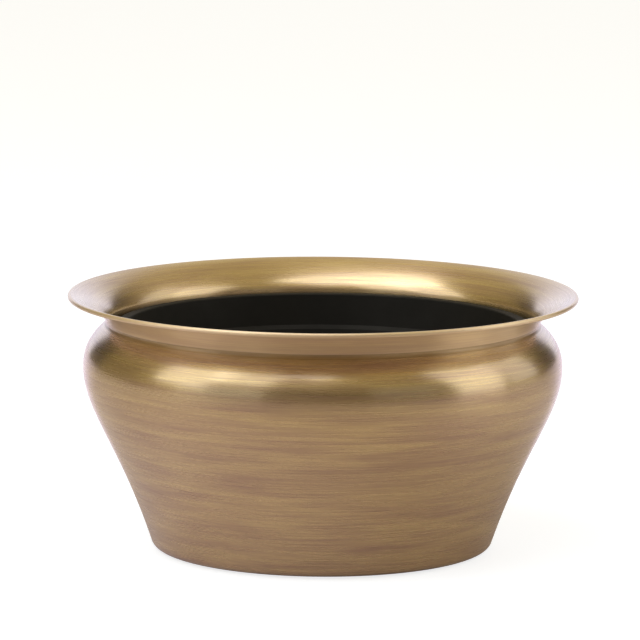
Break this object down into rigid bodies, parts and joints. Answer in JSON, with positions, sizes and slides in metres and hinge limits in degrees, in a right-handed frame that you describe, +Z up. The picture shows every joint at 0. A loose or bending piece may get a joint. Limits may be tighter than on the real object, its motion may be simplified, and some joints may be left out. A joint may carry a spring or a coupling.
{
  "type": "planter pot",
  "caption": "Round spun brass planter with a full shoulder, a tight neck, a wide flared collar with a wired rim, and a lift-out inner liner.",
  "frame": {"origin": "centre of the circle that the pot stands on, at the underside of the felt pads", "axes": "+Z up along the pot's axis of revolution; the felt pads lie at 45 degrees between X and Y"},
  "size_m": [0.406, 0.406, 0.2044],
  "materials": {
    "brass": "antiqued, brushed round the pot and lacquered satin",
    "wire": "drawn, bright",
    "felt": "pressed wool felt",
    "liner_plastic": "moulded, matte black"
  },
  "bodies": {
    "planter": {"bowl_body": "brass", "flared_collar": "brass", "neck_braze": "brass", "rim_wire": "wire", "foot_pad_1": "felt", "foot_pad_2": "felt", "foot_pad_3": "felt", "foot_pad_4": "felt"},
    "liner": {"liner": "liner_plastic"}
  },
  "joints": [
    {"name": "liner_lift", "type": "slide", "parent": "planter", "child": "liner", "axis": [0, 0, 1], "range_m": [0, 0.21]}
  ]
}
